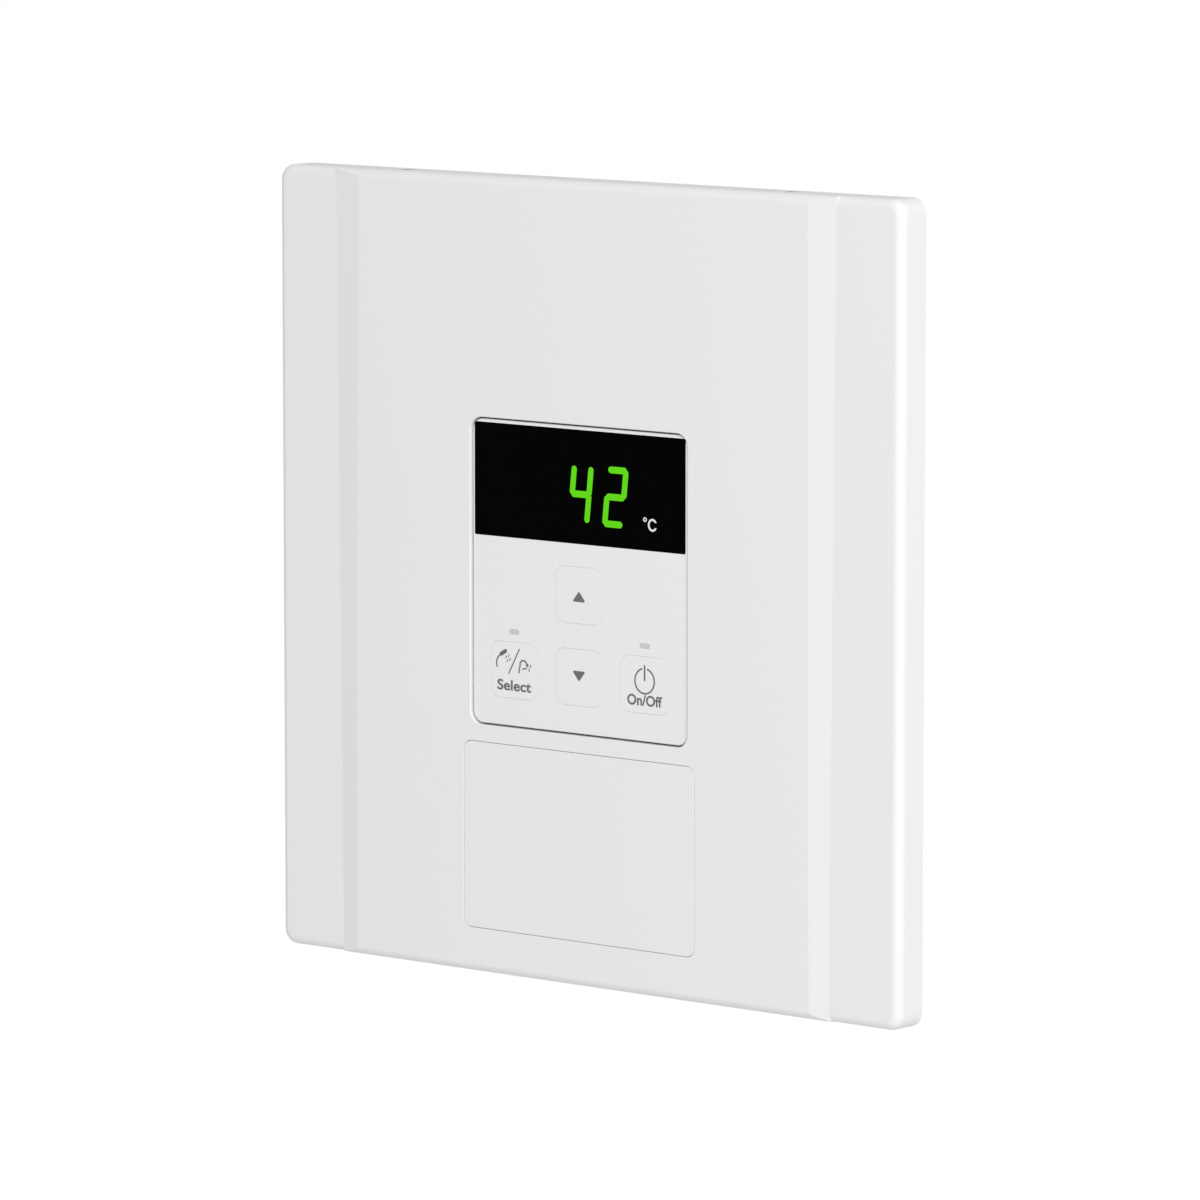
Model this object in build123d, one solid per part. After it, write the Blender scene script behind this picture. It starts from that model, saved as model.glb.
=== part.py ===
from build123d import *
import math
import os

# Wall control box with a recessed temperature controller and a service door.
# Origin: centre of the rear mounting face. X to the right, Z up, the front faces -Y. Millimetres.

# --- driving dimensions -------------------------------------------------------------------
cover_width = 260.0
cover_height = 258.0
total_depth = 24.0
cover_side_depth = 13.0
sheet = 1.2
cover_corner_r = 5.0
cover_edge_r = 3.0

step_depth = 1.2
step_inner_top = cover_width / 2 - 36.4
step_inner_low = cover_width / 2 - 34.8
step_outer_top = cover_width / 2 - 25.8
step_outer_low = cover_width / 2 - 27.8

face_width = 89.8
face_height = 98.4
face_corner_r = 4.0
face_center_z = 1.85
face_gap = 0.6
face_recess = 0.8
opening_lip_r = 0.35
opening_flange_end = -18.0

fascia_wall = 1.6
window_width = 88.4
window_height = 36.55
window_center_up = 29.95
window_thick = 1.0
window_corner_r = 0.6
window_fit = 0.1
window_ledge = 3.0

digit_height = 19.3
digit_width = 9.0
digit_stroke = 2.0
digit_pitch = 14.5
digit_slant = 6.0
digit_left_x = 0.7
digit_up = 27.7
segment_fit = 0.05
unit_x = 30.6
unit_up = 19.95

key_width = 20.0
key_height = 18.3
key_r = 4.0
key_gap = 0.06
key_pitch = 27.4
key_row_up = -31.15
key_up_up = -4.75
key_travel = 0.5
print_thick = 0.08
light_up = -18.7
light_width = 4.2
light_height = 1.5

case_rear = -8.0
case_wall = 2.0
case_flange_width = 112.0
case_flange_height = 118.0
case_flange_thick = 2.0
board_front = -13.6
board_thick = 1.6

door_width = 97.0
door_height = 61.0
door_center_z = -83.95
door_gap = 0.15
door_rim = 3.2
door_panel = 2.0
door_corner_r = 3.0
hinge_in = 1.6
hinge_up = 9.0
door_lip_r = 0.2
hinge_pin_r = 0.8
hinge_pin_play = 0.08

tub_inset = 18.0
tub_width = cover_width - 2 * tub_inset
tub_height = cover_height - 2 * tub_inset
tub_wall = 2.5
tub_corner_r = 8.0
flange_front = -13.0
flange_thick = 2.2
rim_front = -19.0
rim_wall = 2.0
rim_play = 0.35

wall_hole_r = 2.4
wall_hole_dx = 180.0
wall_hole_dz = 160.0
cable_x = 33.0
cable_z = -84.0
cable_hole_r = 10.0
cable_bore_r = 7.0

bay_board_x = -16.0
bay_board_z = -80.0
bay_board_width = 60.0
bay_board_height = 54.0
bay_board_front = -8.1
screw_r = 1.05
screw_hole_r = screw_r + 0.1
board_hole_r = screw_r + 0.35
screw_head_r = 2.1

front = -total_depth
face_y = front + face_recess
opening_width = face_width + 2 * face_gap
opening_height = face_height + 2 * face_gap
opening_r = face_corner_r + face_gap
door_top = door_center_z + door_height / 2
door_low = door_center_z - door_height / 2


def plate(width, height, radius, y_front, y_rear, x=0.0, z=0.0):
    """A flat rectangular block with rounded corners, seen square on from the front."""
    sketch = RectangleRounded(width, height, radius) if radius > 0 else Rectangle(width, height)
    place = Plane(origin=(x, y_rear, z), x_dir=(1, 0, 0), z_dir=(0, -1, 0))
    return extrude(place * sketch, amount=y_rear - y_front)


def peg(radius, y_front, y_rear, x=0.0, z=0.0):
    """A round pin along Y."""
    place = Plane(origin=(x, y_rear, z), x_dir=(1, 0, 0), z_dir=(0, -1, 0))
    return extrude(place * Circle(radius), amount=y_rear - y_front)


def block(x0, x1, y0, y1, z0, z1):
    """A box between two corners."""
    place = Pos((x0 + x1) / 2, (y0 + y1) / 2, (z0 + z1) / 2)
    return place * Box(abs(x1 - x0), abs(y1 - y0), abs(z1 - z0))


def ring(outer_w, outer_h, outer_r, inner_w, inner_h, inner_r, y_front, y_rear, x=0.0, z=0.0):
    """A rectangular frame."""
    outer = plate(outer_w, outer_h, outer_r, y_front, y_rear, x, z)
    return outer - plate(inner_w, inner_h, inner_r, y_front - 1, y_rear + 1, x, z)


def on_front(sketch, y, thick, x=0.0, z=0.0):
    """A flat printed or inlaid shape whose rear face lies at y, drawn as seen from the front."""
    place = Plane(origin=(x, y, z), x_dir=(1, 0, 0), z_dir=(0, -1, 0))
    return extrude(place * sketch, amount=thick)


def save(shape, name):
    """Writes one node, as a group of its solids."""
    solids = shape.solids()
    whole = Compound(children=list(solids)) if len(solids) > 1 else solids[0]
    export_step(whole, f"parts/{name}.step")


# --- shell ---------------------------------------------------------------------------------
def cover_form(inset):
    """The outside of the cover drawn inwards by inset: a raised centre panel between lower sides."""
    width = cover_width - 2 * inset
    height = cover_height - 2 * inset
    radius = cover_corner_r - inset
    rear = front + cover_side_depth + (1.0 if inset > 0 else 0.0)
    lower = plate(width, height, radius, front + inset + step_depth, rear)
    lower = fillet(lower.faces().sort_by(Axis.Y)[0].edges(), cover_edge_r - inset)

    def section(inner, outer, z):
        points = [
            (-outer, front + inset + step_depth + 3.0),
            (-outer, front + inset + step_depth),
            (-inner, front + inset),
            (inner, front + inset),
            (outer, front + inset + step_depth),
            (outer, front + inset + step_depth + 3.0),
        ]
        return Plane.XY.offset(z) * make_face(Polyline(*points, close=True))

    raised = loft([
        section(step_inner_low - 0.1 * inset, step_outer_low - 0.1 * inset, -height / 2),
        section(step_inner_top - 0.1 * inset, step_outer_top - 0.1 * inset, height / 2),
    ])
    limit = plate(width, height, radius, front + inset, rear)
    limit = fillet(limit.faces().sort_by(Axis.Y)[0].edges(), cover_edge_r - inset)
    return lower + (raised & limit)


def lipped_opening(width, height, radius, z, flange_end):
    """The inward flange around an opening and the opening itself, with a rolled front lip."""
    wall = ring(width + 2 * sheet, height + 2 * sheet, radius + sheet,
                width, height, radius, front + 0.5, flange_end, 0, z)
    hole = plate(width, height, radius, front - 1, flange_end + 1, 0, z)
    return wall, hole


def rolled_lip(solid, width, height, z, radius):
    """Rounds the front edge of an opening."""
    def near(edge):
        c = edge.center()
        inside_x = abs(c.X) < width / 2 + 0.3
        inside_z = abs(c.Z - z) < height / 2 + 0.3
        return abs(c.Y - front) < 0.01 and inside_x and inside_z
    return fillet([e for e in solid.edges() if near(e)], radius)


def front_cover():
    cover = cover_form(0.0) - cover_form(sheet)
    wall, hole = lipped_opening(opening_width, opening_height, opening_r, face_center_z,
                                opening_flange_end)
    cover = (cover + wall) - hole
    wall, hole = lipped_opening(door_width, door_height, door_corner_r + door_gap,
                                door_center_z, opening_flange_end)
    cover = (cover + wall) - hole
    cover = rolled_lip(cover, opening_width, opening_height, face_center_z, opening_lip_r)
    cover = rolled_lip(cover, door_width, door_height, door_center_z, door_lip_r)
    for side in (-1, 1):
        pivot_x = side * (door_width / 2 + sheet / 2)
        cover = cover - (Pos(pivot_x, front + hinge_in, door_low + door_gap + hinge_up)
                         * Rot(0, 90, 0) * Cylinder(hinge_pin_r + hinge_pin_play, 4))
    for x, up in screw_places():
        z = up * (cover_height / 2)
        sink = Cone(1.65, 3.05, 1.4) if up > 0 else Cone(3.05, 1.65, 1.4)
        cover = cover - Pos(x, screw_line_y, z - up * 0.68) * sink
        cover = cover - Pos(x, screw_line_y, z) * Cylinder(1.65, 2 * sheet + 1.0)
    return cover


screw_line_y = -15.4


def screw_places():
    return [(x, up) for up in (-1, 1) for x in (-80.0, 80.0)]


def stud_places():
    return [(x, face_center_z + dz) for x in (-52.5, 52.5) for dz in (-40.0, 40.0)]


def weld_studs():
    studs = [peg(1.5, front + sheet, -12.6, x, z) for x, z in stud_places()]
    feet = [peg(3.0, front + sheet, front + sheet + 0.8, x, z) for x, z in stud_places()]
    return Compound(children=[(a + b).solids()[0] for a, b in zip(studs, feet)])


def stud_nuts():
    nuts = []
    for x, z in stud_places():
        place = Plane(origin=(x, -13.6, z), x_dir=(1, 0, 0), z_dir=(0, -1, 0))
        nut = extrude(place * RegularPolygon(3.1, 6), amount=2.4)
        nuts.append((nut - peg(1.55, -17, -13, x, z)).solids()[0])
    return Compound(children=nuts)


def rear_case():
    tub = plate(tub_width, tub_height, tub_corner_r, flange_front + 0.1, 0.0)
    tub = tub - plate(tub_width - 2 * tub_wall, tub_height - 2 * tub_wall,
                      tub_corner_r - tub_wall, flange_front - 1, -tub_wall)
    tub = fillet(tub.faces().sort_by(Axis.Y)[-1].outer_wire().edges(), 1.0)
    rim_w = cover_width - 2 * sheet - 2 * rim_play
    rim_h = cover_height - 2 * sheet - 2 * rim_play
    rim_r = cover_corner_r - sheet - 0.3
    tub = tub + ring(rim_w, rim_h, rim_r, tub_width - 2 * tub_wall, tub_height - 2 * tub_wall,
                     tub_corner_r - tub_wall, flange_front, flange_front + flange_thick)
    tub = tub + ring(rim_w, rim_h, rim_r, rim_w - 2 * rim_wall, rim_h - 2 * rim_wall, 1.2,
                     rim_front, flange_front + flange_thick)
    # stiffening ribs on the floor
    rib_out = tub_width / 2 - tub_wall + 0.1
    rib_up = tub_height / 2 - tub_wall + 0.1
    for x in (-70.0, 70.0):
        tub = tub + block(x - 0.9, x + 0.9, -6.5, -tub_wall + 0.1, -rib_up, rib_up)
    for z in (66.0, -50.0):
        tub = tub + block(-rib_out, rib_out, -6.5, -tub_wall + 0.1, z - 0.9, z + 0.9)
    # bosses for the cover screws
    for x, up in screw_places():
        z = up * (rim_h / 2 - 4.0)
        boss = block(x - 4, x + 4, rim_front, flange_front + 0.1, z - 4, z + 4)
        tub = tub + boss
        bore = Pos(x, screw_line_y, up * (cover_height / 2 - 6.0)) * Cylinder(1.3, 14)
        tub = tub - bore
        dish = Cone(1.3, 1.7, 0.6) if up > 0 else Cone(1.7, 1.3, 0.6)
        tub = tub - Pos(x, screw_line_y, up * (rim_h / 2 - 0.25)) * dish
    # standoffs for the service board
    for x, z in bay_screw_places():
        tub = tub + peg(3.0, bay_board_front + board_thick, -tub_wall + 0.1, x, z)
        tub = tub - peg(screw_hole_r, -9, -1.2, x, z)
    # wall screw holes: keyholes above, plain holes below
    for x in (-wall_hole_dx / 2, wall_hole_dx / 2):
        tub = tub - peg(wall_hole_r, -4, 1, x, wall_hole_dz / 2)
        tub = tub - peg(wall_hole_r * 2, -4, 1, x, wall_hole_dz / 2 - 9.0)
        tub = tub - block(x - wall_hole_r, x + wall_hole_r, -4, 1,
                          wall_hole_dz / 2 - 9.0, wall_hole_dz / 2)
        tub = tub - peg(wall_hole_r, -4, 1, x, -wall_hole_dz / 2)
    tub = tub - peg(cable_hole_r, -4, 1, cable_x, cable_z)
    # cooling slots in the lower and upper tub walls
    for i in range(9):
        x = -40.0 + 10.0 * i
        for up in (-1, 1):
            tub = tub - block(x - 3, x + 3, -9.5, -4.5, up * (tub_height / 2 - 4),
                              up * (tub_height / 2 + 1))
    return tub


def cover_screws():
    screws = []
    for x, up in screw_places():
        edge = up * cover_height / 2
        head = Cone(1.45, 2.75, 1.3) if up > 0 else Cone(2.75, 1.45, 1.3)
        screw = Pos(x, screw_line_y, edge - up * 0.75) * head
        shank = Pos(x, screw_line_y, edge - up * 5.3) * Cylinder(1.2, 8.0)
        screw = screw + shank
        screw = screw - Pos(x, screw_line_y, edge) * Box(3.2, 0.6, 1.2)
        screw = screw - Pos(x, screw_line_y, edge) * Box(0.6, 3.2, 1.2)
        screws.append(screw.solids()[0])
    return Compound(children=screws)


def cable_grommet():
    ring_body = peg(cable_hole_r + 2.0, -tub_wall - 1.4, -tub_wall, cable_x, cable_z)
    ring_body = ring_body + peg(cable_hole_r - 0.1, -tub_wall - 1.4, 0.0, cable_x, cable_z)
    return ring_body - peg(cable_bore_r, -6, 1, cable_x, cable_z)


# --- controller ----------------------------------------------------------------------------
def key_places():
    z_row = face_center_z + key_row_up
    return {
        "up": (0.0, face_center_z + key_up_up),
        "down": (0.0, z_row),
        "select": (-key_pitch, z_row),
        "power": (key_pitch, z_row),
    }


def light_places():
    return [(x, face_center_z + light_up) for x in (-key_pitch, key_pitch)]


def board_screw_places():
    return [(x, face_center_z + dz) for x in (-40.0, 40.0) for dz in (-43.0, 43.0)]


def bay_screw_places():
    return [(bay_board_x + dx, bay_board_z + dz) for dx in (-26.5, 26.5) for dz in (-23.5, 23.5)]


def fascia():
    z0 = face_center_z
    shell = plate(face_width, face_height, face_corner_r, face_y, opening_flange_end, 0, z0)
    shell = fillet(shell.faces().sort_by(Axis.Y)[0].edges(), 0.35)
    shell = shell - plate(face_width - 2 * fascia_wall, face_height - 2 * fascia_wall, 2.4,
                          face_y + fascia_wall, opening_flange_end + 1, 0, z0)
    window_z = z0 + window_center_up
    shell = shell - plate(window_width, window_height, window_corner_r, face_y - 1, face_y + window_thick,
                          0, window_z)
    shell = shell - plate(window_width - 2 * window_ledge, window_height - 2 * window_ledge, 1.0,
                          face_y - 1, face_y + fascia_wall + 1, 0, window_z)
    for x, z in key_places().values():
        shell = shell - plate(key_width, key_height, key_r, face_y - 1,
                              face_y + fascia_wall + 1, x, z)
    for x, z in light_places():
        shell = shell - plate(light_width + 0.1, light_height + 0.1, light_height / 2,
                              face_y - 1, face_y + fascia_wall + 1, x, z)
    # pegs that hold the key mat off the fascia
    for x, z in mat_pegs():
        shell = shell + peg(1.3, face_y + fascia_wall - 0.2, -19.2, x, z)
    return shell


def mat_pegs():
    z_row = face_center_z + key_row_up
    z_top = face_center_z + key_up_up
    return [(-13.7, z_row - 10.6), (13.7, z_row - 10.6), (-17.0, z_top), (17.0, z_top)]


def digit_segments(center_x):
    """The seven bars of one digit as sketches, each with rounded ends and mitred corners."""
    w = digit_width - digit_stroke
    h = digit_height - digit_stroke
    gap = 0.28
    r = digit_stroke / 2
    long_v = h / 2 - 2 * gap
    long_h = w - 2 * gap

    def bar(cx, cz, length, upright):
        half = length / 2
        points = [(-half, 0), (-half + r, r), (half - r, r), (half, 0), (half - r, -r), (-half + r, -r)]
        shape = make_face(Polyline(*points, close=True))
        shape = fillet(shape.vertices(), 0.3)
        if upright:
            shape = Rot(0, 0, 90) * shape
        return Pos(cx, cz) * shape

    bars = {
        "a": bar(0, h / 2, long_h, False),
        "b": bar(w / 2, h / 4, long_v, True),
        "c": bar(w / 2, -h / 4, long_v, True),
        "d": bar(0, -h / 2, long_h, False),
        "e": bar(-w / 2, -h / 4, long_v, True),
        "f": bar(-w / 2, h / 4, long_v, True),
        "g": bar(0, 0, long_h, False),
    }
    return bars, center_x


def slanted(sketch, center_x, center_z, y_rear, thick):
    """Leans a flat shape to the right by the digit slant and gives it thickness."""
    k = math.tan(math.radians(digit_slant))
    solid = on_front(sketch, y_rear, thick)
    lean = Matrix([[1, 0, k, 0], [0, 1, 0, 0], [0, 0, 1, 0]])
    return Pos(center_x, 0, center_z) * solid.transform_geometry(lean)


def segment_solids(grow):
    """All fourteen segments, as (lit, unlit) lists of solids through the window."""
    lit = []
    unlit = []
    wanted = [("bcfg", digit_left_x), ("abged", digit_left_x + digit_pitch)]
    z = face_center_z + digit_up
    for shown, x in wanted:
        bars, center = digit_segments(x)
        for letter, sketch in bars.items():
            shape = offset(sketch, grow) if grow > 0 else sketch
            rear = face_y + window_thick + (0.5 if grow > 0 else 0.0)
            thick = window_thick + (1.0 if grow > 0 else 0.02)
            solid = slanted(shape, center, z, rear, thick)
            (lit if letter in shown else unlit).append(solid)
    return lit, unlit


def display_window():
    z = face_center_z + window_center_up
    pane = plate(window_width - 2 * window_fit, window_height - 2 * window_fit, window_corner_r - 0.05,
                 face_y, face_y + window_thick, 0, z)
    lit, unlit = segment_solids(segment_fit)
    for solid in lit + unlit:
        pane = pane - solid
    return pane


def segment_group(lit):
    chosen = segment_solids(0.0)[0 if lit else 1]
    return Compound(children=[s.solids()[0] for s in chosen])


def unit_mark():
    letter = Ellipse(1.85, 2.05) - Ellipse(1.2, 1.4) - Pos(1.6, 0) * Rectangle(1.9, 1.7)
    dot = Circle(0.75) - Circle(0.36)
    y = face_y
    z = face_center_z + unit_up
    shapes = on_front(letter, y, print_thick, unit_x, z) + on_front(dot, y, print_thick, unit_x - 3.1, z + 1.6)
    return shapes


def key(name):
    x, z = key_places()[name]
    skirt = face_y + fascia_wall + 0.05
    cap = plate(key_width - 2 * key_gap, key_height - 2 * key_gap, key_r - key_gap, face_y,
                skirt + 0.1, x, z)
    cap = fillet(cap.faces().sort_by(Axis.Y)[0].edges(), 0.04)
    cap = cap + plate(key_width + 1.4, key_height + 1.4, key_r, skirt, skirt + 0.8, x, z)
    return cap + peg(1.5, skirt + 0.7, -18.4, x, z)


def triangle(up):
    points = [(-2.75, -1.6), (2.75, -1.6), (0.0, 1.75)]
    if not up:
        points = [(px, -pz) for px, pz in points]
    shape = make_face(Polyline(*points, close=True))
    return fillet(shape.vertices(), 0.35)


def key_print(name):
    x, z = key_places()[name]
    y = face_y
    if name == "up":
        return on_front(triangle(True), y, print_thick, x, z - 0.5)
    if name == "down":
        return on_front(triangle(False), y, print_thick, x, z + 0.5)
    if name == "power":
        ring_shape = Circle(4.25) - Circle(3.75)
        ring_shape = ring_shape - Pos(0, 4) * Rectangle(2.0, 3.0)
        stem = Pos(0, 2.55) * RectangleRounded(0.6, 5.1, 0.25)
        return on_front(ring_shape + stem, y, print_thick, x, z + 1.25)
    # select: a tap, a slash and a shower head
    tap = Pos(-4.4, 1.6) * (Circle(1.9) - Circle(1.15) - Pos(0, -2) * Rectangle(4, 4))
    tap = tap + Pos(-6.1, 0.9) * Rectangle(0.75, 1.6)
    tap = tap + Pos(-2.6, 1.5) * Rectangle(1.6, 0.8) + Pos(-4.4, 3.6) * Rectangle(0.7, 1.0)
    slash = Rot(0, 0, -28) * Rectangle(0.7, 8.4)
    shower = Pos(4.3, -1.2) * (Circle(1.7) - Pos(0, -1.7) * Rectangle(4, 3.4))
    shower = shower + Pos(6.0, 0.1) * Rot(0, 0, -30) * Rectangle(2.0, 0.7)
    for i in range(3):
        shower = shower + Pos(3.1 + 1.2 * i, -2.6) * Rectangle(0.35, 1.5)
    return on_front(tap + slash + shower, y, print_thick, x, z + 2.6)


def key_mat():
    z0 = face_center_z
    z_row = z0 + key_row_up
    mat = plate(84.0, 46.0, 4.0, -19.2, -18.5, 0, z_row + 10.5)
    mat = mat - block(-45, -22, -21, -17, z_row + 16.5, z_row + 40)
    mat = mat - block(22, 45, -21, -17, z_row + 16.5, z_row + 40)
    for x, z in key_places().values():
        mat = mat - peg(1.9, -21, -17, x, z)
        # four feet round each switch reach back to the board
        for dx in (-6.5, 6.5):
            mat = mat + peg(0.9, -18.6, board_front, x + dx, z + 6.2)
            mat = mat + peg(0.9, -18.6, board_front, x + dx, z - 6.2)
    for x, z in light_places():
        mat = mat - plate(5.4, 2.6, 1.2, -21, -17, x, z)
    return mat


def controller_case():
    z0 = face_center_z
    case = plate(face_width, face_height, face_corner_r, opening_flange_end, case_rear, 0, z0)
    case = case + plate(case_flange_width, case_flange_height, 4.0, opening_flange_end,
                        opening_flange_end + case_flange_thick, 0, z0)
    case = case - plate(face_width - 2 * case_wall, face_height - 2 * case_wall, 2.4,
                        opening_flange_end - 1, case_rear - case_wall, 0, z0)
    for x, z in stud_places():
        case = case - peg(1.7, -20, -14, x, z)
    for x, z in board_screw_places():
        case = case + peg(3.0, board_front + board_thick, case_rear - case_wall + 0.1, x, z)
        case = case - peg(screw_hole_r, -14, case_rear - 0.6, x, z)
    # slot for the harness in the lower wall
    low = z0 - face_height / 2
    return case - block(-7.5, 7.5, -14.2, -10.8, low - 1, low + case_wall + 1)


def controller_board():
    z0 = face_center_z
    board = plate(85.0, 91.6, 2.0, board_front, board_front + board_thick, 0, z0)
    for x, z in board_screw_places():
        board = board - peg(board_hole_r, -16, -10, x, z)
    low = z0 - 91.6 / 2
    return board - block(-8.0, 8.0, -16, -10, low - 1, low + 2.4)


def board_screws():
    screws = []
    spots = [(x, z, board_front) for x, z in board_screw_places()]
    spots += [(x, z, bay_board_front) for x, z in bay_screw_places()]
    for x, z, y in spots:
        screw = peg(screw_head_r, y - 1.5, y, x, z) + peg(screw_r, y - 0.1, y + 3.6, x, z)
        screw = screw - block(x - 1.4, x + 1.4, y - 2, y - 0.8, z - 0.28, z + 0.28)
        screw = screw - block(x - 0.28, x + 0.28, y - 2, y - 0.8, z - 1.4, z + 1.4)
        screws.append(screw.solids()[0])
    return Compound(children=screws)


def digit_module():
    x = digit_left_x + digit_pitch / 2
    z = face_center_z + digit_up
    body = plate(30.0, 26.0, 0.6, face_y + 2.1, board_front, x, z)
    for dx in (-digit_pitch / 2, digit_pitch / 2):
        body = body - plate(10.6, 21.0, 1.0, face_y + 1.5, face_y + 3.6, x + dx, z)
    return body


def tact_switches():
    switches = []
    for x, z in key_places().values():
        switch = plate(6.0, 6.0, 0.4, board_front - 3.4, board_front, x, z)
        switch = switch + peg(1.75, board_front - 4.2, board_front - 3.3, x, z)
        switches.append(switch.solids()[0])
    return Compound(children=switches)


def status_light_pipes():
    pipes = []
    for x, z in light_places():
        pipe = plate(light_width, light_height, light_height / 2 - 0.05, face_y, -15.0, x, z)
        pipe = pipe + plate(6.4, 2.0, 0.8, face_y + fascia_wall, -19.7, x, z)
        pipes.append(pipe.solids()[0])
    return Compound(children=pipes)


def status_leds():
    leds = [plate(3.2, 1.6, 0.2, -15.0, board_front, x, z) for x, z in light_places()]
    return Compound(children=[led.solids()[0] for led in leds])


def chip(x, z, width, height, thick, y, pins, pin_pitch, along_x):
    """A flat chip package with gull-wing leads merged into one solid."""
    body = plate(width, height, 0.3, y - thick, y - 0.1, x, z)
    for side in (-1, 1):
        for i in range(pins):
            step = (i - (pins - 1) / 2) * pin_pitch
            if along_x:
                foot = block(x + step - 0.2, x + step + 0.2, y - 0.7, y,
                             z + side * (height / 2 - 0.2), z + side * (height / 2 + 1.0))
            else:
                foot = block(x + side * (width / 2 - 0.2), x + side * (width / 2 + 1.0),
                             y - 0.7, y, z + step - 0.2, z + step + 0.2)
            body = body + foot
    return body


def microcontroller():
    z = face_center_z + 33.0
    body = chip(-29.0, z, 10.0, 10.0, 1.5, board_front, 11, 0.8, True)
    return body + chip(-29.0, z, 10.0, 10.0, 1.5, board_front, 11, 0.8, False)


def driver_chip():
    return chip(-29.0, face_center_z + 17.0, 10.0, 4.0, 1.6, board_front, 8, 1.27, True)


def buzzer():
    can = peg(6.0, board_front - 5.2, board_front, 33.0, face_center_z + 33.0)
    can = fillet(can.faces().sort_by(Axis.Y)[0].edges(), 0.5)
    return can - peg(1.0, board_front - 6, board_front - 3.0, 33.0, face_center_z + 33.0)


def small_can(x, z, radius, tall, y):
    base = plate(2 * radius + 0.4, 2 * radius + 0.4, 0.5, y - 0.9, y, x, z)
    can = peg(radius, y - tall, y - 0.8, x, z)
    return fillet((base + can).faces().sort_by(Axis.Y)[0].edges(), 0.4)


def board_capacitors():
    places = [(33.0, face_center_z + 18.0), (-16.0, face_center_z + 38.0)]
    cans = [small_can(x, z, 2.6, 5.2, board_front) for x, z in places]
    return Compound(children=[c.solids()[0] for c in cans])


harness_y = -12.5
header_tall = 4.4
header_upper_z = face_center_z - 41.4
header_lower_z = -60.0


def harness_headers():
    """Two side-entry headers, the upper one open downwards and the lower one open upwards."""
    headers = []
    for z, y, up in ((header_upper_z, board_front, -1), (header_lower_z, bay_board_front, 1)):
        body = block(-6.5, 6.5, y - header_tall, y, z - 2.2, z + 2.2)
        body = body - block(-5.6, 5.6, y - header_tall + 0.8, y - 0.8, z + up * 3, z - up * 1.2)
        headers.append(body.solids()[0])
    return Compound(children=headers)


def harness():
    """A flat ribbon from the controller board down to the service board."""
    upper_y = board_front - header_tall / 2
    lower_y = bay_board_front - header_tall / 2
    edge_z = face_center_z - face_height / 2
    path = Polyline(
        (0.0, upper_y, header_upper_z + 0.4),
        (0.0, upper_y, header_upper_z - 2.9),
        (0.0, harness_y, edge_z + 2.9),
        (0.0, harness_y, header_lower_z + 7.4),
        (0.0, lower_y, header_lower_z + 4.4),
        (0.0, lower_y, header_lower_z - 0.4),
    )
    corners = fillet(path.vertices()[1:-1], 0.7)
    start = Plane(origin=(0.0, upper_y, header_upper_z + 0.4), x_dir=(1, 0, 0), z_dir=(0, 0, -1))
    return sweep(start * Rectangle(8, 0.9), path=corners, transition=Transition.ROUND)


# --- service bay -----------------------------------------------------------------------------
def service_board():
    board = plate(bay_board_width, bay_board_height, 1.5, bay_board_front,
                  bay_board_front + board_thick, bay_board_x, bay_board_z)
    for x, z in bay_screw_places():
        board = board - peg(board_hole_r, -12, -5, x, z)
    return board


terminal_count = 6
terminal_pitch = 5.08
terminal_x = bay_board_x - 4.0
terminal_z = bay_board_z - 18.0


def terminal_spots():
    start = terminal_x - terminal_pitch * (terminal_count - 1) / 2
    return [(start + terminal_pitch * i, terminal_z) for i in range(terminal_count)]


def terminal_block():
    y = bay_board_front
    width = terminal_count * terminal_pitch + 0.6
    body = block(terminal_x - width / 2, terminal_x + width / 2, y - 10.0, y,
                 terminal_z - 4.5, terminal_z + 4.0)
    body = chamfer(body.edges().filter_by(Axis.X).sort_by(Axis.Y)[0:2], 1.0)
    for x, z in terminal_spots():
        body = body - peg(1.85, y - 11, y - 5.5, x, z)
        body = body - block(x - 1.7, x + 1.7, y - 4.6, y - 1.4, z - 6, z - 0.5)
    return body


def terminal_screws():
    screws = []
    for x, z in terminal_spots():
        y = bay_board_front - 8.6
        screw = peg(1.75, y, y + 3.1, x, z) - block(x - 2, x + 2, y - 1, y + 0.7, z - 0.25, z + 0.25)
        screws.append(screw.solids()[0])
    return Compound(children=screws)


def relay():
    y = bay_board_front
    body = block(bay_board_x + 5.0, bay_board_x + 25.0, y - 10.4, y, bay_board_z - 3.0,
                 bay_board_z + 9.0)
    body = fillet(body.edges().filter_by(Axis.Y), 0.6)
    return chamfer(body.faces().sort_by(Axis.Y)[0].edges(), 0.4)


def power_module():
    y = bay_board_front
    body = block(bay_board_x - 27.0, bay_board_x - 3.0, y - 9.6, y, bay_board_z - 3.0,
                 bay_board_z + 14.0)
    body = fillet(body.edges().filter_by(Axis.Y), 1.0)
    return chamfer(body.faces().sort_by(Axis.Y)[0].edges(), 0.5)


fuse_x = bay_board_x - 9.0
fuse_z = bay_board_z + 20.6
fuse_y = bay_board_front - 4.2


def fuse():
    glass = Pos(fuse_x, fuse_y, fuse_z) * Rot(0, 90, 0) * Cylinder(2.25, 12.0)
    for side in (-1, 1):
        cap = Pos(fuse_x + side * 7.2, fuse_y, fuse_z) * Rot(0, 90, 0) * Cylinder(2.55, 4.0)
        glass = glass + cap
    return glass


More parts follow.
